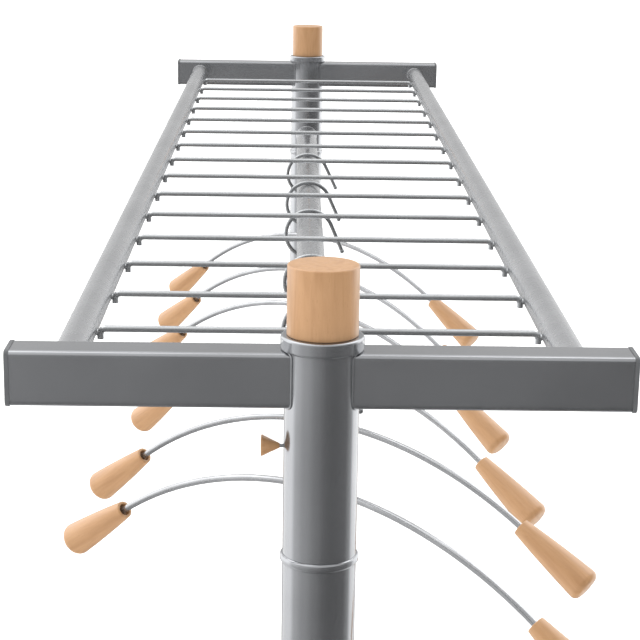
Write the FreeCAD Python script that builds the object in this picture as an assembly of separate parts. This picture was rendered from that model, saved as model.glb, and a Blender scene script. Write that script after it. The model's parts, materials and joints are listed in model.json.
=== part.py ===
import FreeCAD, Part
import math
import os

V = FreeCAD.Vector
os.makedirs("parts", exist_ok=True)

# Free-standing double-sided coat rack: two round posts on bar feet, a hat shelf of rods,
# and a clothes rail with six hangers. X is across the rack, Y along the rail, Z up.
# The origin is on the floor, midway between the posts.

# --- posts ---
postSpacing = 1404.0
postR = 20.0
tubeWall = 1.5
shelfTop = 1704.0            # top face of the shelf crossbars
jointZ = shelfTop - 115.7    # middle of the bead between the two post sections
beadHeight = 5.0
beadR = 21.4
spigotReach = 32.0
collarR = 22.2
collarHeight = 8.0
capR = 19.0
capHeight = 38.0
# --- crossbars and feet, one rectangular tube section ---
barHeight = 30.0
barDepth = 24.0
barCorner = 3.0
barHalf = 163.0              # tube only, from the rack's middle
endCap = 2.5
footHalf = 247.0
footClear = 12.0
glideX = 222.0
# --- hat shelf ---
sideRailR = 9.0
sideRailX = 137.0
sideRailZ = shelfTop - 14.5
rodR = 2.0
rodCount = 15
rodPitch = 87.1
rodZ = sideRailZ           # rods meet the side rails at mid height
rodBend = 3.0
rodLeg = 6.0
# --- clothes rail and lower tie ---
railR = 12.5
railZ = shelfTop - 93.3
tieZ = 160.0
# --- hangers ---
hookWireR = 2.0
hookBendR = 22.8             # centre line of the hook's round part
hookNeckR = 8.0
hookLead = 22.0              # degrees above level where the open side turns straight
hookLeg = 27.5
hookGap = 0.3                # hook above the rail
apexDrop = 72.5              # hook centre down to the arm wire
armWireR = 2.5
armRadius = 309.0
armSweep = 35.1              # degrees each side of the middle
bossR = 5.5
bossHeight = 15.0
knobLength = 66.3
knobSmallR = 6.7
knobBigR = 12.5
plugDepth = 26.0
hangerY = (-429.0, -275.5, -111.0, 95.0, 252.5, 439.0)
hangerYaw = (36.6, 34.7, 42.3, 41.5, 43.1, 41.8)
hangerTilt = (0.5, 3.2, 3.3, 0.9, 2.1, 3.3)
# --- lock knob on the front post ---
lockZ = shelfTop - 53.5
lockPinR = 1.0
lockConeR = 5.8
lockConeLength = 10.0

xAxis, yAxis, zAxis = V(1, 0, 0), V(0, 1, 0), V(0, 0, 1)
postY = postSpacing / 2


def save(name, shape):
    shape.exportStep("parts/%s.step" % name)


def turned(shape):
    copy = shape.copy()
    copy.rotate(V(0, 0, 0), zAxis, 180)
    return copy


def savePair(stem, shape):
    save(stem + "_front", shape)
    save(stem + "_rear", turned(shape))


def pipe(outerR, innerR, length, base, axis):
    outer = Part.makeCylinder(outerR, length, base, axis)
    return outer.cut(Part.makeCylinder(innerR, length, base, axis))


def roundedBar(x0, x1, y, zTop, height, depth, corner):
    bar = Part.makeBox(x1 - x0, depth, height, V(x0, y - depth / 2, zTop - height))
    runs = [e for e in bar.Edges if abs(e.tangentAt(e.FirstParameter).x) > 0.99]
    return bar.makeFillet(corner, runs)


def boxTube(x0, x1, y, zTop):
    outer = roundedBar(x0, x1, y, zTop, barHeight, barDepth, barCorner)
    inner = roundedBar(x0 - 1, x1 + 1, y, zTop - tubeWall, barHeight - 2 * tubeWall,
                       barDepth - 2 * tubeWall, barCorner - tubeWall)
    return outer.cut(inner)


def barPlug(x, side, y, zTop):
    face = roundedBar(min(x, x + side * endCap), max(x, x + side * endCap), y, zTop + 0.4,
                      barHeight + 0.8, barDepth + 0.8, barCorner)
    inside = x - side * 12.0
    tongue = roundedBar(min(x, inside), max(x, inside), y, zTop - tubeWall - 0.1,
                        barHeight - 2 * tubeWall - 0.2, barDepth - 2 * tubeWall - 0.2, 1.2)
    edges = [e for e in face.Edges
             if abs(e.CenterOfMass.x - (x + side * endCap)) < 0.01]
    return face.makeFillet(0.8, edges).fuse(tongue).removeSplitter()


def sweepWire(edges, radius):
    path = Part.Wire(edges)
    start = edges[0].valueAt(edges[0].FirstParameter)
    heading = edges[0].tangentAt(edges[0].FirstParameter)
    ring = Part.Wire(Part.makeCircle(radius, start, heading))
    return path.makePipeShell([ring], True, True)


def turnedPiece(edges, point, axis):
    face = Part.Face(Part.Wire(edges))
    solid = face.revolve(V(0, 0, 0), zAxis, 360)
    solid.Placement = FreeCAD.Placement(point, FreeCAD.Rotation(zAxis, axis))
    return solid


def knob(point, axis):
    body = turnedPiece(knobProfile, point, axis)
    body = body.cut(Part.makeCylinder(bore, plugDepth + 1, point - axis, axis))
    return body.cut(Part.makeCylinder(4.6, 5.0, point - axis, axis))


def rims(shape):
    return [e for e in shape.Edges if e.Curve.TypeId == "Part::GeomCircle"]


def lines(points):
    return [Part.makeLine(V(*a), V(*b)) for a, b in zip(points, points[1:])]


# --- posts: two sections joined by a beaded sleeve ---
frontY = -postY
upperBottom = jointZ + beadHeight / 2
lowerTop = jointZ - beadHeight / 2
postTop = shelfTop + 5.0
upper = pipe(postR, postR - tubeWall, postTop - upperBottom, V(0, frontY, upperBottom), zAxis)
lower = pipe(postR, postR - tubeWall, lowerTop - footClear, V(0, frontY, footClear), zAxis)
lockHole = Part.makeCylinder(lockPinR + 0.1, 10, V(-postR - 3, frontY, lockZ), xAxis)
save("post_upper_front", upper.cut(lockHole))
save("post_upper_rear", turned(upper))
savePair("post_lower", lower)

spigotR = postR - tubeWall - 0.05
bead = Part.makeCylinder(beadR, beadHeight, V(0, frontY, lowerTop), zAxis)
bead = bead.makeFillet(2.0, rims(bead))
sleeve = Part.makeCylinder(spigotR, beadHeight + 2 * spigotReach,
                           V(0, frontY, lowerTop - spigotReach), zAxis)
sleeve = bead.fuse(sleeve).cut(Part.makeCylinder(spigotR - 2, beadHeight + 2 * spigotReach,
                                                 V(0, frontY, lowerTop - spigotReach), zAxis))
savePair("post_joint_sleeve", sleeve)

collar = Part.makeCylinder(collarR, collarHeight, V(0, frontY, shelfTop), zAxis)
collar = collar.makeFillet(1.6, rims(collar))
collar = collar.cut(Part.makeCylinder(postR, postTop - shelfTop, V(0, frontY, shelfTop), zAxis))
collar = collar.cut(Part.makeCylinder(16.0, collarHeight, V(0, frontY, shelfTop), zAxis))
savePair("post_collar", collar)

capBase = shelfTop + collarHeight
cap = Part.makeCylinder(capR, capHeight, V(0, frontY, capBase), zAxis)
topRim = [e for e in cap.Edges if abs(e.CenterOfMass.z - capBase - capHeight) < 0.01]
cap = cap.makeChamfer(0.9, topRim)
cap = cap.fuse(Part.makeCylinder(15.9, 24.0, V(0, frontY, capBase - 24.0), zAxis))
savePair("post_cap", cap.removeSplitter())

plug = Part.makeCylinder(postR, 3.0, V(0, frontY, footClear - 3.0), zAxis)
plug = plug.fuse(Part.makeCylinder(spigotR, 15.0, V(0, frontY, footClear), zAxis))
savePair("post_base_plug", plug)

# --- crossbars and feet: two tube halves saddled to each post ---
postCore = Part.makeCylinder(postR, shelfTop + 50, V(0, frontY, 0), zAxis)


def barPair(stem, halfLength, zTop, drill):
    for side, label in ((-1, "left"), (1, "right")):
        x0, x1 = sorted((side * 8.0, side * halfLength))
        half = boxTube(x0, x1, frontY, zTop).cut(postCore)
        if drill:
            half = half.cut(Part.makeCylinder(4.2, 12, V(side * glideX, frontY, footClear - 5), zAxis))
        save("%s_front_%s" % (stem, label), half)
        save("%s_rear_%s" % (stem, label), turned(half))


barPair("crossbar", barHalf, shelfTop, False)
barPair("foot_bar", footHalf, footClear + barHeight, True)
for stem, halfLength, zTop in (("crossbar", barHalf, shelfTop),
                               ("foot_bar", footHalf, footClear + barHeight)):
    plugs = [barPlug(side * halfLength, side, frontY, zTop) for side in (-1, 1)]
    save(stem + "_end_caps", Part.makeCompound(plugs + [turned(p) for p in plugs]))

glideParts = []
for side in (-1, 1):
    centre = V(side * glideX, frontY, 0)
    pad = Part.makeCylinder(11.0, 8.0, centre, zAxis)
    pad = pad.makeFillet(1.2, rims(pad))
    neck = Part.makeCylinder(6.0, 4.0, centre + V(0, 0, 8.0), zAxis)
    stud = Part.makeCylinder(4.0, 16.0, centre + V(0, 0, footClear), zAxis)
    glideParts.append(pad.fuse(neck).fuse(stud))
save("foot_glides", Part.makeCompound(glideParts + [turned(g) for g in glideParts]))

# --- hat shelf ---
innerFace = postY - barDepth / 2
for side, label in ((-1, "left"), (1, "right")):
    save("side_rail_" + label, pipe(sideRailR, sideRailR - 1.2, 2 * innerFace,
                                    V(side * sideRailX, -innerFace, sideRailZ), yAxis))

legX = sideRailX - sideRailR - rodR + 0.3
rods = []
for i in range(rodCount):
    y = (i - (rodCount - 1) / 2) * rodPitch
    c = rodBend * math.sqrt(0.5)
    low, turn = rodZ - rodLeg, rodZ - rodBend
    edges = [Part.makeLine(V(-legX, y, low), V(-legX, y, turn)),
             Part.Arc(V(-legX, y, turn), V(-legX + rodBend - c, y, turn + c),
                      V(-legX + rodBend, y, rodZ)).toShape(),
             Part.makeLine(V(-legX + rodBend, y, rodZ), V(legX - rodBend, y, rodZ)),
             Part.Arc(V(legX - rodBend, y, rodZ), V(legX - rodBend + c, y, turn + c),
                      V(legX, y, turn)).toShape(),
             Part.makeLine(V(legX, y, turn), V(legX, y, low))]
    rods.append(sweepWire(edges, rodR))
save("shelf_rods", Part.makeCompound(rods))

# --- clothes rail and lower tie, saddled between the posts ---
for name, z in (("clothes_rail", railZ), ("lower_tie_rail", tieZ)):
    rail = pipe(railR, railR - tubeWall, postSpacing, V(0, -postY, z), yAxis)
    save(name, rail.cut(postCore).cut(turned(postCore)))

# --- hangers: local X along the arms, local origin at the hook's centre ---
lead = math.radians(hookLead)
neck = math.asin(hookNeckR / (hookBendR + hookNeckR))


def onHook(angle):
    return V(hookBendR * math.cos(angle), 0, hookBendR * math.sin(angle))


tip = onHook(lead) + V(math.sin(lead), 0, -math.cos(lead)) * hookLeg
neckEnd = V(0, 0, -(hookBendR + hookNeckR) * math.cos(neck))
neckCentre = neckEnd + V(-hookNeckR, 0, 0)
neckStart = onHook(math.radians(270) - neck)
neckMid = (neckStart + neckEnd) * 0.5 - neckCentre
neckMid = neckCentre + neckMid * (hookNeckR / neckMid.Length)
stemEnd = V(0, 0, -apexDrop - bossHeight / 2 - 1.0)
hookWire = sweepWire([Part.makeLine(tip, onHook(lead)),
                      Part.Arc(onHook(lead), onHook(math.radians(140)), neckStart).toShape(),
                      Part.Arc(neckStart, neckMid, neckEnd).toShape(),
                      Part.makeLine(neckEnd, stemEnd)], hookWireR)
hook = hookWire.fuse(Part.makeSphere(2.4, tip))
hook = hook.fuse(Part.makeCylinder(4.2, 3.0, stemEnd + V(0, 0, -2.0 - hookGap), zAxis))
hook = hook.fuse(Part.makeCylinder(4.2, 2.0, V(0, 0, -apexDrop + bossHeight / 2 + hookGap), zAxis))

sweep = math.radians(armSweep)


def onArm(angle):
    return V(armRadius * math.sin(angle), 0, armRadius * (math.cos(angle) - 1) - apexDrop)


armEnd = onArm(sweep)
armDirection = V(math.cos(sweep), 0, -math.sin(sweep))
leftEnd = V(-armEnd.x, 0, armEnd.z)
leftDirection = V(-armDirection.x, 0, armDirection.z)
arm = sweepWire([Part.makeLine(leftEnd + leftDirection * plugDepth, leftEnd),
                 Part.Arc(leftEnd, onArm(0), armEnd).toShape(),
                 Part.makeLine(armEnd, armEnd + armDirection * plugDepth)], armWireR)
boss = Part.makeCylinder(bossR, bossHeight, V(0, 0, -apexDrop - bossHeight / 2), zAxis)
boss = boss.makeFillet(1.2, rims(boss))
arm = arm.fuse(boss).cut(Part.makeCylinder(hookWireR + 0.08, bossHeight + 2,
                                           V(0, 0, -apexDrop - bossHeight / 2 - 1), zAxis))

side = Part.Arc(V(knobSmallR, 0, 0.6), V(10.0, 0, 30.0), V(knobBigR, 0, 60.0)).toShape()
shoulder = Part.Arc(V(knobBigR, 0, 60.0), V(11.5, 0, 63.9), V(8.6, 0, 65.6)).toShape()
dome = Part.Arc(V(8.6, 0, 65.6), V(5.0, 0, 66.1), V(1.0, 0, knobLength)).toShape()
bore = armWireR + 0.05
knobProfile = (lines([(0, 0, knobLength), (0, 0, 0), (knobSmallR - 0.6, 0, 0), (knobSmallR, 0, 0.6)])
               + [side, shoulder, dome] + lines([(1.0, 0, knobLength), (0, 0, knobLength)]))
knobRight = knob(armEnd, armDirection)
knobLeft = knob(leftEnd, leftDirection)

hookCentreZ = railZ + railR + hookGap - (hookBendR - hookWireR)
for i, (y, yaw, tilt) in enumerate(zip(hangerY, hangerYaw, hangerTilt)):
    for name, shape, spun in (("hook", hook, False), ("arm", arm, True),
                              ("knob_left", knobLeft, True), ("knob_right", knobRight, True)):
        piece = shape.copy()
        if spun:
            piece.rotate(V(0, 0, 0), zAxis, -yaw)
        piece.rotate(V(0, 0, 0), yAxis, -tilt)
        piece.translate(V(0, y, hookCentreZ))
        save("hanger_%d_%s" % (i + 1, name), piece)

# --- lock knob: a turned cone on a pin through the front post's wall ---
pinStart = V(-postR - 4.0, frontY, lockZ)
save("lock_pin", Part.makeCylinder(lockPinR, 10.0, pinStart, xAxis).fuse(
    Part.makeCylinder(2.6, 1.6, V(-postR + 2.0, frontY, lockZ), xAxis)))
cone = turnedPiece(lines([(0, 0, lockConeLength + 2.0), (0, 0, 2.0), (lockPinR + 0.7, 0, 2.0),
                          (lockConeR, 0, lockConeLength + 1.6),
                          (lockConeR - 0.4, 0, lockConeLength + 2.0),
                          (0, 0, lockConeLength + 2.0)]), V(-postR, frontY, lockZ), V(-1, 0, 0))
save("lock_knob", cone.cut(Part.makeCylinder(lockPinR + 0.02, 10.0, pinStart, xAxis)))
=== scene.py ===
import json
import math
import bpy
from mathutils import Matrix, Vector


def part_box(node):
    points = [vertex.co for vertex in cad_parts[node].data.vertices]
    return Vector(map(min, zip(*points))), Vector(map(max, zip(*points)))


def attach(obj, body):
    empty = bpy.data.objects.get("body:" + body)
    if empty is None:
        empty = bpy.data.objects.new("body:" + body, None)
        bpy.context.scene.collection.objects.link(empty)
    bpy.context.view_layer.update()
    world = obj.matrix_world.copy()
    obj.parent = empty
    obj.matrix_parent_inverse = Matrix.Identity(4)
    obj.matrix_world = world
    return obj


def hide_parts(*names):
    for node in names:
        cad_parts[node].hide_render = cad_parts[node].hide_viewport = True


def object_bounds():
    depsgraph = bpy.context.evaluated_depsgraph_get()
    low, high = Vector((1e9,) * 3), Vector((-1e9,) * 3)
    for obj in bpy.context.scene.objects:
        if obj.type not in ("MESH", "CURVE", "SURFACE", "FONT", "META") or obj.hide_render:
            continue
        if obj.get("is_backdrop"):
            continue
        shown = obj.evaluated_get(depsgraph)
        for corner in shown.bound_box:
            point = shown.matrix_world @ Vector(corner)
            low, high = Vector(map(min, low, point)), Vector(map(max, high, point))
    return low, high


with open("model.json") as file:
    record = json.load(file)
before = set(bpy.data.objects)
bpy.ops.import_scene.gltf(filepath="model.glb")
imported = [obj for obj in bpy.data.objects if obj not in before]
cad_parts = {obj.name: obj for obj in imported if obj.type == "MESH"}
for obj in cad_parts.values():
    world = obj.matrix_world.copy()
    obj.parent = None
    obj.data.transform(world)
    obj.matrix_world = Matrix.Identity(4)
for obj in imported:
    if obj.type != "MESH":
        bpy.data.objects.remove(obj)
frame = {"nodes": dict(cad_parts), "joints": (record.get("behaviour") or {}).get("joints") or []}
cadLow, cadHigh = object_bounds()
nodes = frame["nodes"]
joints = {j["name"]: j for j in frame["joints"]}
scene = bpy.context.scene
scene.view_settings.view_transform = "Standard"
mm = 0.001
ends = ("front", "rear")
sides = ("left", "right")
hangerCount = sum(name.endswith("_arm") for name in nodes)
print("frame loaded:", len(nodes), "nodes,", hangerCount, "hangers")


# handling of pieces
def middle(node):
    low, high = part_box(node)
    return (low + high) / 2


def deselectAll():
    if bpy.context.object and bpy.context.object.mode != "OBJECT":
        bpy.ops.object.mode_set(mode="OBJECT")
    bpy.ops.object.select_all(action="DESELECT")


def pick(piece):
    deselectAll()
    piece.select_set(True)
    bpy.context.view_layer.objects.active = piece


def named(name):
    piece = bpy.context.object
    piece.name = name
    piece.data.name = name
    return piece


# puts the piece where it belongs, with its place in its mesh
def settle(piece, place=Matrix.Identity(4)):
    bpy.context.view_layer.update()
    piece.matrix_world = place @ piece.matrix_world
    pick(piece)
    bpy.ops.object.transform_apply(location=True, rotation=True, scale=True)


def closeUp(piece):
    pick(piece)
    bpy.ops.object.mode_set(mode="EDIT")
    bpy.ops.mesh.select_all(action="SELECT")
    bpy.ops.mesh.remove_doubles(threshold=0.000004)
    bpy.ops.mesh.normals_make_consistent(inside=False)
    bpy.ops.object.mode_set(mode="OBJECT")


def softShade(piece, degrees=40):
    pick(piece)
    bpy.ops.object.shade_smooth_by_angle(angle=math.radians(degrees))


def another(piece, name):
    copy = piece.copy()
    copy.data = piece.data.copy()
    copy.name = name
    copy.data.name = name
    scene.collection.objects.link(copy)
    return copy


def join(pieces, name):
    deselectAll()
    for piece in pieces:
        piece.select_set(True)
    bpy.context.view_layer.objects.active = pieces[0]
    bpy.ops.object.join()
    return named(name)


def dress(piece, material):
    piece.data.materials.clear()
    piece.data.materials.append(material)


def dressNode(node, material):
    piece = nodes[node]
    if not piece.material_slots:
        piece.data.materials.append(material)
    for place in piece.material_slots:
        place.material = material


# turns a closed piece about Z from its (radius, height) rings in millimetres
def turned(name, rings, segments):
    radius, height = rings[0]
    deselectAll()
    bpy.ops.mesh.primitive_circle_add(vertices=segments, radius=radius * mm, fill_type="NGON",
                                      location=(0, 0, height * mm))
    piece = named(name)
    bpy.ops.object.mode_set(mode="EDIT")
    bpy.ops.mesh.select_all(action="SELECT")
    for (r0, z0), (r1, z1) in zip(rings, rings[1:]):
        bpy.ops.mesh.extrude_region_move(
            TRANSFORM_OT_translate={"value": (0, 0, (z1 - z0) * mm)})
        bpy.ops.transform.resize(value=(r1 / r0, r1 / r0, 1), center_override=(0, 0, z1 * mm))
    bpy.ops.object.mode_set(mode="OBJECT")
    settle(piece)
    closeUp(piece)
    return piece


# points of the circle through three (radius, height) points, without the first
def arc(start, through, end, steps):
    (ax, ay), (bx, by), (cx, cy) = start, through, end
    d = 2 * (ax * (by - cy) + bx * (cy - ay) + cx * (ay - by))
    ux = ((ax * ax + ay * ay) * (by - cy) + (bx * bx + by * by) * (cy - ay)
          + (cx * cx + cy * cy) * (ay - by)) / d
    uy = ((ax * ax + ay * ay) * (cx - bx) + (bx * bx + by * by) * (ax - cx)
          + (cx * cx + cy * cy) * (bx - ax)) / d
    radius = math.hypot(ax - ux, ay - uy)
    a0, a1 = math.atan2(ay - uy, ax - ux), math.atan2(cy - uy, cx - ux)
    swing = (a1 - a0 + math.pi) % (2 * math.pi) - math.pi
    return [(ux + radius * math.cos(a0 + swing * i / steps),
             uy + radius * math.sin(a0 + swing * i / steps)) for i in range(1, steps + 1)]


# a material with its shader, and short ways to add nodes to it
class Finish:
    def __init__(self, name, **sockets):
        self.material = bpy.data.materials.new(name)
        self.material.use_nodes = True
        self.tree = self.material.node_tree
        self.tree.nodes.clear()
        self.output = self.add("ShaderNodeOutputMaterial")
        self.shader = self.add("ShaderNodeBsdfPrincipled")
        self.link(self.shader.outputs["BSDF"], self.output.inputs["Surface"])
        for socket, value in sockets.items():
            self.shader.inputs[socket.replace("_", " ")].default_value = value
        self.coordinates = self.add("ShaderNodeTexCoord").outputs["Object"]

    def add(self, kind, **settings):
        node = self.tree.nodes.new(kind)
        for setting, value in settings.items():
            if setting in node.inputs.keys():
                node.inputs[setting].default_value = value
            else:
                setattr(node, setting, value)
        return node

    def link(self, source, target):
        self.tree.links.new(source, target)

    # the coordinates scaled, or read in the piece's own frame
    def placed(self, source, scale=(1, 1, 1), place=None):
        node = self.add("ShaderNodeMapping")
        self.link(source, node.inputs["Vector"])
        if place is not None:
            node.vector_type = "TEXTURE"
            node.inputs["Location"].default_value = place.to_translation()
            node.inputs["Rotation"].default_value = place.to_euler()
        node.inputs["Scale"].default_value = scale
        return node.outputs["Vector"]

    def noise(self, source, scale, detail=3.0, roughness=0.5, distortion=0.0):
        node = self.add("ShaderNodeTexNoise")
        self.link(source, node.inputs["Vector"])
        node.inputs["Scale"].default_value = scale
        node.inputs["Detail"].default_value = detail
        node.inputs["Roughness"].default_value = roughness
        node.inputs["Distortion"].default_value = distortion
        return node.outputs["Fac"]

    def ramp(self, source, *stops):
        node = self.add("ShaderNodeValToRGB")
        self.link(source, node.inputs["Fac"])
        marks = node.color_ramp.elements
        while len(marks) < len(stops):
            marks.new(0.5)
        for mark, (position, colour) in zip(marks, stops):
            mark.position = position
            mark.color = (*colour, 1) if len(colour) == 3 else colour
        return node.outputs["Color"]

    def grey(self, source, *stops):
        return self.ramp(source, *((position, (v, v, v)) for position, v in stops))

    def mix(self, share, first, second, blend="MIX"):
        node = self.add("ShaderNodeMix", data_type="RGBA", blend_type=blend)
        for socket, value in ((node.inputs[0], share), (node.inputs[6], first),
                              (node.inputs[7], second)):
            if isinstance(value, bpy.types.NodeSocket):
                self.link(value, socket)
            elif isinstance(value, tuple):
                socket.default_value = (*value, 1)
            else:
                socket.default_value = value
        return node.outputs[2]

    # each layer is (height, strength, distance in metres)
    def bumps(self, *layers):
        normal = None
        for height, strength, distance in layers:
            node = self.add("ShaderNodeBump")
            node.inputs["Strength"].default_value = strength
            node.inputs["Distance"].default_value = distance
            self.link(height, node.inputs["Height"])
            if normal:
                self.link(normal, node.inputs["Normal"])
            normal = node.outputs["Normal"]
        self.link(normal, self.shader.inputs["Normal"])

    def colour(self, source):
        self.link(source, self.shader.inputs["Base Color"])

    def roughness(self, source):
        self.link(source, self.shader.inputs["Roughness"])


darkPaint = {"shade": (0.300, 0.306, 0.318), "fleck": (0.335, 0.341, 0.353), "rough": (0.16, 0.19),
             "metallic": 0.85, "coat": 0.15}
silverPaint = {"shade": (0.41, 0.415, 0.425), "fleck": (0.49, 0.50, 0.51), "rough": (0.25, 0.29),
               "metallic": 0.85, "coat": 0.1}
rodPaint = {"shade": (0.42, 0.43, 0.44), "fleck": (0.54, 0.55, 0.56), "rough": (0.22, 0.26),
            "metallic": 0.85, "coat": 0.1}


# metallic powder coat: fine flecks, a very faint orange peel and slight cloudiness
def paint(name, look):
    f = Finish(name, Metallic=look["metallic"], Coat_Weight=look["coat"], Coat_Roughness=0.12)
    flecks = f.grey(f.noise(f.coordinates, 2600, 1.0), (0.58, 0.0), (0.70, 1.0))
    clouds = f.grey(f.noise(f.coordinates, 14, 3.0), (0.35, 0.93), (0.65, 1.06))
    body = f.mix(0.30, look["shade"], look["fleck"])
    body = f.mix(flecks, look["shade"], body)
    f.colour(f.mix(1.0, body, clouds, "MULTIPLY"))
    low, high = look["rough"]
    f.roughness(f.grey(f.noise(f.coordinates, 90, 4.0), (0.3, low), (0.7, high)))
    f.bumps((f.noise(f.coordinates, 260, 2.0), 0.003, 0.0003),
            (f.noise(f.coordinates, 1200, 1.0), 0.001, 0.0002))
    return f.material


# satin nickel wire, its tone slightly uneven
def wire(name, shade, rough):
    f = Finish(name, Metallic=0.9)
    tone = f.grey(f.noise(f.coordinates, 60, 4.0), (0.3, 0.90), (0.7, 1.06))
    f.colour(f.mix(1.0, shade, tone, "MULTIPLY"))
    f.roughness(f.grey(f.noise(f.coordinates, 700, 3.0), (0.3, rough - 0.05), (0.7, rough + 0.07)))
    f.bumps((f.noise(f.coordinates, 1500, 2.0), 0.015, 0.0001))
    return f.material


beechLook = {"pale": (0.47, 0.262, 0.122), "warm": (0.40, 0.212, 0.092), "late": (0.33, 0.160, 0.066),
             "fleck": (0.29, 0.145, 0.06), "rough": (0.34, 0.46)}


# lacquered beech, its grain along the piece's own turning axis
def beech(name, place, shift):
    look = beechLook
    f = Finish(name, Coat_Weight=0.20, Coat_Roughness=0.22)
    own = f.placed(f.coordinates, place=place @ Matrix.Translation(Vector(shift)))
    along = f.placed(own, scale=(1.0, 1.0, 0.09))
    ticks = f.placed(own, scale=(1.0, 1.0, 0.16))
    bands = f.noise(along, 120, 3.0, 0.55, 0.6)
    body = f.ramp(bands, (0.30, look["warm"]), (0.52, look["pale"]), (0.74, look["warm"]))
    lines = f.grey(f.noise(along, 520, 2.0, 0.5, 0.3), (0.52, 0.0), (0.72, 1.0))
    body = f.mix(f.grey(lines, (0.0, 0.0), (1.0, 0.20)), body, look["late"])
    flecks = f.grey(f.noise(ticks, 1900, 1.0), (0.64, 0.0), (0.73, 1.0))
    body = f.mix(f.grey(flecks, (0.0, 0.0), (1.0, 0.24)), body, look["fleck"])
    f.colour(body)
    low, high = look["rough"]
    f.roughness(f.grey(f.noise(along, 300, 3.0), (0.3, low), (0.7, high)))
    f.bumps((lines, 0.10, 0.0002), (flecks, 0.12, 0.0001))
    return f.material


# moulded plastic with a fine grain
def plastic(name, shade):
    f = Finish(name)
    grain = f.noise(f.coordinates, 2400, 2.0)
    f.colour(f.mix(f.grey(f.noise(f.coordinates, 50, 3.0), (0.3, 0.0), (0.7, 1.0)),
                   shade, tuple(c * 1.25 + 0.004 for c in shade)))
    f.roughness(f.grey(grain, (0.3, 0.46), (0.7, 0.60)))
    f.bumps((grain, 0.22, 0.0002))
    return f.material


darkMetal = paint("dark_powder_coat", darkPaint)
silverMetal = paint("silver_powder_coat", silverPaint)
rodMetal = paint("rod_powder_coat", rodPaint)
hookSteel = wire("hook_wire", (0.36, 0.37, 0.38), 0.28)
armSteel = wire("arm_wire", (0.38, 0.385, 0.395), 0.22)
capPlastic = plastic("bar_cap_plastic", (0.085, 0.088, 0.092))
footPlastic = plastic("foot_plastic", (0.018, 0.018, 0.019))

for end in ends:
    for stem in ("post_upper", "post_lower", "post_joint_sleeve", "post_collar"):
        dressNode(f"{stem}_{end}", darkMetal)
    dressNode(f"post_base_plug_{end}", footPlastic)
    for side in sides:
        dressNode(f"crossbar_{end}_{side}", darkMetal)
        dressNode(f"foot_bar_{end}_{side}", darkMetal)
for side in sides:
    dressNode(f"side_rail_{side}", silverMetal)
dressNode("clothes_rail", silverMetal)
dressNode("lower_tie_rail", silverMetal)
dressNode("shelf_rods", rodMetal)
dressNode("crossbar_end_caps", capPlastic)
dressNode("foot_bar_end_caps", capPlastic)
dressNode("foot_glides", footPlastic)
dressNode("lock_pin", hookSteel)
for number in range(1, hangerCount + 1):
    dressNode(f"hanger_{number}_hook", hookSteel)
    dressNode(f"hanger_{number}_arm", armSteel)
print("frame dressed")

# wooden caps on the posts
capShape = {"radius": 19.0, "height": 38.0, "rim": 1.1, "spigotRadius": 15.9, "spigot": 24.0,
            "crown": 0.35}


def makeCap():
    c = capShape
    r, h, rim = c["radius"], c["height"] - c["crown"], c["rim"]
    rings = [(c["spigotRadius"] - 1, -c["spigot"]), (c["spigotRadius"], 1 - c["spigot"]),
             (c["spigotRadius"], -0.01), (c["spigotRadius"] + 0.01, 0), (r - 0.6, 0)]
    rings += arc((r - 0.6, 0), (r - 0.17, 0.17), (r, 0.6), 4)
    rings += [(r, h / 3), (r, 2 * h / 3), (r, h - rim)]
    rings += arc((r, h - rim), (r - rim * 0.293, h - rim * 0.293), (r - rim, h), 6)
    rings += [(r * 0.75, h + c["crown"] * 0.5), (r * 0.4, h + c["crown"] * 0.9),
              (0.5, h + c["crown"])]
    return turned("cap_pattern", rings, 72)


pattern = makeCap()
for end in ends:
    low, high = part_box(f"post_cap_{end}")
    base = Vector((middle(f"post_cap_{end}").x, middle(f"post_cap_{end}").y,
                   high.z - capShape["height"] * mm))
    place = Matrix.Translation(base)
    cap = another(pattern, f"wood_cap_{end}")
    settle(cap, place)
    softShade(cap)
    dress(cap, beech(f"beech_cap_{end}", place, (0.013, 0.021, 0.4 if end == "rear" else 0.0)))
    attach(cap, "rack")
    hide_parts(f"post_cap_{end}")
bpy.data.objects.remove(pattern)
print("caps turned")

# hanger knobs
knobShape = {"length": 66.3, "small": 6.7, "middle": (10.0, 30.0), "big": (12.5, 60.0),
             "recess": 4.6, "recessDepth": 4.0, "bore": 2.55, "boreDepth": 20.0}
hangerShape = {"drop": 72.5, "armRadius": 309.0, "sweep": 35.1,
               "yaw": (36.6, 34.7, 42.3, 41.5, 43.1, 41.8)}


def makeKnob():
    k = knobShape
    big, start = k["big"], k["small"]
    rings = [(k["bore"], k["boreDepth"]), (k["bore"], k["recessDepth"] + 0.02),
             (k["bore"] + 0.05, k["recessDepth"]), (k["recess"] - 0.25, k["recessDepth"]),
             (k["recess"], k["recessDepth"] - 0.25), (k["recess"], 0.35)]
    rings += arc((k["recess"], 0.35), (k["recess"] + 0.1, 0.1), (k["recess"] + 0.35, 0), 3)
    rings += [(start - 0.7, 0)]
    rings += arc((start - 0.7, 0), (start - 0.2, 0.2), (start, 0.7), 4)
    rings += arc((start, 0.7), k["middle"], big, 14)
    rings += arc(big, (11.5, 63.9), (8.6, 65.6), 9)
    rings += arc((8.6, 65.6), (5.0, 66.1), (0.6, k["length"]), 5)
    return turned("knob_pattern", rings, 56)


def hangerPlace(number):
    joint = joints[f"hanger_{number}_swivel"]
    axis = Vector(joint["axis"])
    tilt = math.atan2(-axis.x, axis.z)
    hookCentre = Vector(joint["pos_m"]) + axis * hangerShape["drop"] * mm
    yaw = math.radians(hangerShape["yaw"][number - 1])
    return (Matrix.Translation(hookCentre) @ Matrix.Rotation(-tilt, 4, "Y")
            @ Matrix.Rotation(-yaw, 4, "Z"))


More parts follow.
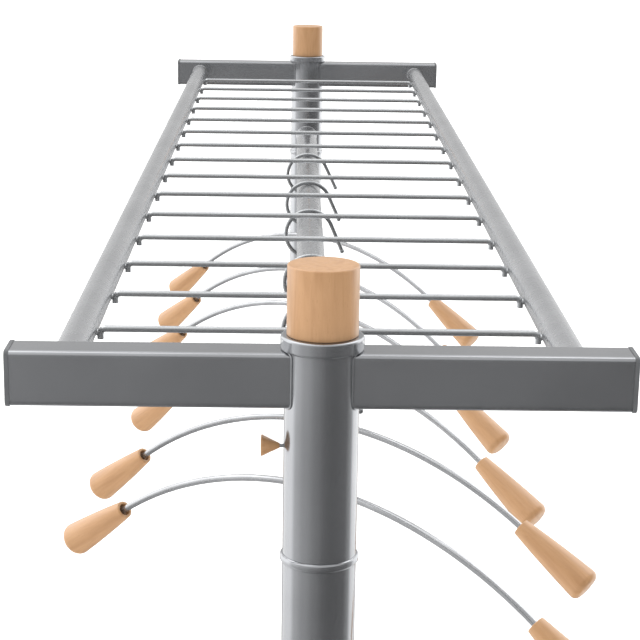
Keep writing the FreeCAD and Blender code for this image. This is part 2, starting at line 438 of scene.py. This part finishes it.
sweep = math.radians(hangerShape["sweep"])
armX = hangerShape["armRadius"] * math.sin(sweep) * mm
armZ = (hangerShape["armRadius"] * (math.cos(sweep) - 1) - hangerShape["drop"]) * mm
pattern = makeKnob()
for number in range(1, hangerCount + 1):
    for side, way in (("left", -1), ("right", 1)):
        place = (hangerPlace(number) @ Matrix.Translation((way * armX, 0, armZ))
                 @ Matrix.Rotation(way * (math.pi / 2 + sweep), 4, "Y"))
        knob = another(pattern, f"wood_knob_{number}_{side}")
        settle(knob, place)
        softShade(knob, 50)
        shift = (0.011 * number, 0.017 * way, 0.3 * number + way)
        dress(knob, beech(f"beech_knob_{number}_{side}", place, shift))
        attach(knob, f"hanger_{number}")
        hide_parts(f"hanger_{number}_knob_{side}")
bpy.data.objects.remove(pattern)
print("knobs turned")

# lock knob
lockShape = {"base": 1.3, "radius": 5.8, "length": 10.0}
lockLow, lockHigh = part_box("lock_knob")
coneBase, coneRadius, coneLength = (lockShape[k] for k in ("base", "radius", "length"))
coneSteps = 6
coneEdge = 0.7               # height of the rounded rim
rings = [(coneBase, 0)]
for i in range(1, coneSteps + 1):
    rings.append((coneBase + (coneRadius - coneBase) * i / coneSteps,
                  (coneLength - coneEdge) * i / coneSteps))
rings += arc(rings[-1], (coneRadius - 0.15, coneLength - 0.15),
             (coneRadius - coneEdge, coneLength), 4)
rings += [(coneRadius * 0.5, coneLength + 0.12), (0.3, coneLength + 0.15)]
lockKnob = turned("wood_lock_knob", rings, 40)
place = (Matrix.Translation((lockHigh.x, (lockLow.y + lockHigh.y) / 2, (lockLow.z + lockHigh.z) / 2))
         @ Matrix.Rotation(-math.pi / 2, 4, "Y"))
settle(lockKnob, place)
softShade(lockKnob)
dress(lockKnob, beech("beech_lock_knob", place, (0.02, 0.01, 0.7)))
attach(lockKnob, "lock_knob")
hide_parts("lock_knob")
print("lock knob turned")

# welds under the paint
weldShape = {"bead": 0.8, "nugget": (1.5, 2.0, 1.9)}


def postAxis(end):
    return middle(f"post_lower_{end}")


postLow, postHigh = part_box("post_upper_front")
postRadius = (postHigh.x - postLow.x) / 2


# a bead round a tube that runs along Y and meets a flat face
def ringWeld(name, centre, radius):
    deselectAll()
    bpy.ops.mesh.primitive_torus_add(location=centre, rotation=(math.pi / 2, 0, 0),
                                     major_segments=56, minor_segments=10,
                                     major_radius=radius, minor_radius=weldShape["bead"] * mm)
    piece = named(name)
    settle(piece)
    return piece


# the same bead, bent round the post that the tube meets
def saddleRing(name, end, way, rail):
    low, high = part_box(rail)
    centre = middle(rail)
    axis = postAxis(end)
    ring = ringWeld(name, (centre.x, axis.y, centre.z), (high.z - low.z) / 2)
    for vertex in ring.data.vertices:
        side = min(abs(vertex.co.x - axis.x), postRadius)
        vertex.co.y += way * math.sqrt(postRadius ** 2 - side ** 2)
    return ring


# a bead round a rectangular bar that is saddled to the post
def saddleLoop(name, end, way, bar):
    low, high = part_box(bar)
    axis = postAxis(end)
    deselectAll()
    bpy.ops.mesh.primitive_plane_add(size=1, rotation=(0, math.pi / 2, 0),
                                     location=(axis.x, axis.y, (low.z + high.z) / 2))
    loop = named(name)
    loop.scale = (high.z - low.z, high.y - low.y, 1)
    settle(loop)
    bpy.ops.object.mode_set(mode="EDIT")
    bpy.ops.mesh.select_all(action="SELECT")
    bpy.ops.mesh.bevel(offset=3 * mm, segments=4, affect="VERTICES")
    bpy.ops.mesh.delete(type="ONLY_FACE")
    bpy.ops.mesh.select_all(action="SELECT")
    bpy.ops.mesh.subdivide(number_cuts=7)
    bpy.ops.object.mode_set(mode="OBJECT")
    for vertex in loop.data.vertices:
        vertex.co.x = axis.x + way * math.sqrt(postRadius ** 2 - (vertex.co.y - axis.y) ** 2)
    bpy.ops.object.convert(target="CURVE")
    loop = bpy.context.object
    loop.data.bevel_depth = weldShape["bead"] * mm
    loop.data.bevel_resolution = 2
    bpy.ops.object.convert(target="MESH")
    loop = bpy.context.object
    return loop


def finishWeld(pieces, name, material):
    weld = join(pieces, name)
    closeUp(weld)
    softShade(weld, 60)
    dress(weld, material)
    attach(weld, "rack")


loops, rings = [], []
for end, towards in (("front", 1), ("rear", -1)):
    for side, way in (("left", -1), ("right", 1)):
        loops.append(saddleLoop(f"loop_{end}_{side}", end, way, f"crossbar_{end}_{side}"))
        loops.append(saddleLoop(f"foot_loop_{end}_{side}", end, way, f"foot_bar_{end}_{side}"))
        rail = f"side_rail_{side}"
        low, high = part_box(rail)
        face = low.y if end == "front" else high.y
        rings.append(ringWeld(f"ring_{end}_{side}", (middle(rail).x, face, middle(rail).z),
                              (high.x - low.x) / 2))
    for rail in ("clothes_rail", "lower_tie_rail"):
        rings.append(saddleRing(f"{rail}_ring_{end}", end, towards, rail))
finishWeld(loops, "bar_welds", darkMetal)
finishWeld(rings, "rail_welds", silverMetal)

rodShape = {"count": 15, "radius": 2.0, "weldBelow": 4.2}
rodsLow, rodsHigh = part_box("shelf_rods")
firstRod = rodsLow.y + rodShape["radius"] * mm
rodSpan = rodsHigh.y - rodsLow.y - 2 * rodShape["radius"] * mm
deselectAll()
bpy.ops.mesh.primitive_uv_sphere_add(segments=14, ring_count=8, radius=mm)
nugget = named("nugget")
nugget.scale = weldShape["nugget"]
settle(nugget)
nuggets = []
for i in range(rodShape["count"]):
    rodY = firstRod + rodSpan * i / (rodShape["count"] - 1)
    for edge in (rodsLow.x, rodsHigh.x):
        nuggets.append(another(nugget, f"nugget_{len(nuggets)}"))
        spot = (edge, rodY, rodsHigh.z - rodShape["weldBelow"] * mm)
        nuggets[-1].data.transform(Matrix.Translation(spot))
bpy.data.objects.remove(nugget)
finishWeld(nuggets, "rod_welds", rodMetal)
print("welds laid")

# floor, light and camera
studio = {"floor": 80.0, "glow": 0.10, "backdrop": (1.0, 1.0, 1.0), "key": 6.0, "brightest": 4.0,
          "around": ((-180, 0.60), (-164, 0.7), (-145, 2.2), (-102, 2.6), (-82, 1.4), (-50, 0.9),
                     (-10, 0.47), (0, 0.36), (12, 0.23), (35, 0.17), (80, 0.26), (102, 0.8),
                     (118, 2.6), (146, 2.4), (164, 0.7), (180, 0.60)),
          "below": ((-1.0, 0.35), (-0.5, 0.6), (-0.15, 1.0), (1.0, 1.0)),
          "overhead": ((-1.0, 0.0), (0.3, 0.0), (0.7, 0.8), (1.0, 0.9))}


def studioFloor():
    deselectAll()
    bpy.ops.mesh.primitive_plane_add(size=studio["floor"], location=(0, 0, cadLow.z))
    floor = named("studio_floor")
    f = Finish("floor_paper", Roughness=0.9, Emission_Strength=studio["glow"])
    f.shader.inputs["Emission Color"].default_value = (1, 1, 1, 1)
    f.shader.inputs["Specular IOR Level"].default_value = 0.1
    f.colour(f.mix(f.noise(f.coordinates, 3, 2.0), (0.93, 0.93, 0.93), (0.96, 0.96, 0.96)))
    dress(floor, f.material)
    floor.visible_glossy = False      # the soft surround is what shows in the metal
    floor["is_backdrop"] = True


# a soft surround: bright bands at the left rear and right rear, dimmest at the front right
def studioWorld():
    world = bpy.data.worlds.new("studio")
    scene.world = world
    world.use_nodes = True
    tree = world.node_tree
    tree.nodes.clear()

    def node(kind, **settings):
        made = tree.nodes.new(kind)
        for setting, value in settings.items():
            setattr(made, setting, value)
        return made

    def ramp(source, low, high, stops):
        reach = node("ShaderNodeMapRange")
        reach.inputs["From Min"].default_value = low
        reach.inputs["From Max"].default_value = high
        tree.links.new(source, reach.inputs["Value"])
        made = node("ShaderNodeValToRGB")
        marks = made.color_ramp.elements
        made.color_ramp.interpolation = "EASE"
        while len(marks) < len(stops):
            marks.new(0.5)
        for mark, (at, value) in zip(marks, stops):
            mark.position = (at - low) / (high - low)
            level = value / studio["brightest"]     # a ramp holds 0 to 1
            mark.color = (level, level, level, 1)
        tree.links.new(reach.outputs["Result"], made.inputs["Fac"])
        return made.outputs["Color"]

    direction = node("ShaderNodeTexCoord").outputs["Generated"]
    parts = node("ShaderNodeSeparateXYZ")
    tree.links.new(direction, parts.inputs[0])
    front = node("ShaderNodeMath", operation="MULTIPLY")
    front.inputs[1].default_value = -1.0
    tree.links.new(parts.outputs["Y"], front.inputs[0])
    bearing = node("ShaderNodeMath", operation="ARCTAN2")
    tree.links.new(parts.outputs["X"], bearing.inputs[0])
    tree.links.new(front.outputs[0], bearing.inputs[1])
    degrees = node("ShaderNodeMath", operation="DEGREES")
    tree.links.new(bearing.outputs[0], degrees.inputs[0])
    around = ramp(degrees.outputs[0], -180, 180, studio["around"])
    below = ramp(parts.outputs["Z"], -1, 1, studio["below"])
    overhead = ramp(parts.outputs["Z"], -1, 1, studio["overhead"])
    walls = node("ShaderNodeMix", data_type="RGBA", blend_type="MULTIPLY")
    walls.inputs[0].default_value = 1.0
    tree.links.new(around, walls.inputs[6])
    tree.links.new(below, walls.inputs[7])
    wallLight = node("ShaderNodeBackground")
    wallLight.inputs["Strength"].default_value = studio["brightest"] ** 2
    tree.links.new(walls.outputs[2], wallLight.inputs["Color"])
    topLight = node("ShaderNodeBackground")
    topLight.inputs["Strength"].default_value = studio["brightest"]
    tree.links.new(overhead, topLight.inputs["Color"])
    soft = node("ShaderNodeAddShader")
    tree.links.new(wallLight.outputs[0], soft.inputs[0])
    tree.links.new(topLight.outputs[0], soft.inputs[1])
    plain = node("ShaderNodeBackground")
    plain.inputs["Color"].default_value = (*studio["backdrop"], 1)
    seen = node("ShaderNodeLightPath")
    choice = node("ShaderNodeMixShader")
    tree.links.new(seen.outputs["Is Camera Ray"], choice.inputs[0])
    tree.links.new(soft.outputs[0], choice.inputs[1])
    tree.links.new(plain.outputs[0], choice.inputs[2])
    output = node("ShaderNodeOutputWorld")
    tree.links.new(choice.outputs[0], output.inputs[0])


def softLight(name, spot, target, size, power):
    light = bpy.data.lights.new(name, "AREA")
    light.shape = "RECTANGLE"
    light.size, light.size_y = size
    light.energy = power
    lamp = bpy.data.objects.new(name, light)
    scene.collection.objects.link(lamp)
    lamp.location = spot
    lamp.visible_glossy = False       # the surround makes the reflections
    lamp.rotation_euler = (Vector(target) - Vector(spot)).to_track_quat("-Z", "Y").to_euler()


studioFloor()
studioWorld()
softLight("key_left", (-2.6, -2.2, 2.6), (0, -0.4, 1.5), (1.4, 2.2), studio["key"])

view = {"spot": (-0.01635, -1.61073, 1.95092), "lens": 100.9, "yaw": 0.9347, "pitch": 14.2819,
        "roll": 0.9072}
cameraData = bpy.data.cameras.new("camera")
cameraData.lens = view["lens"]
cameraData.sensor_width = 36.0
cameraData.clip_start, cameraData.clip_end = 0.02, 200.0
camera = bpy.data.objects.new("camera", cameraData)
scene.collection.objects.link(camera)
camera.matrix_world = (Matrix.Translation(view["spot"])
                       @ Matrix.Rotation(-math.radians(view["yaw"]), 4, "Z")
                       @ Matrix.Rotation(math.radians(90 - view["pitch"]), 4, "X")
                       @ Matrix.Rotation(math.radians(view["roll"]), 4, "Z"))
scene.camera = camera
print("studio ready")

low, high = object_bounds()
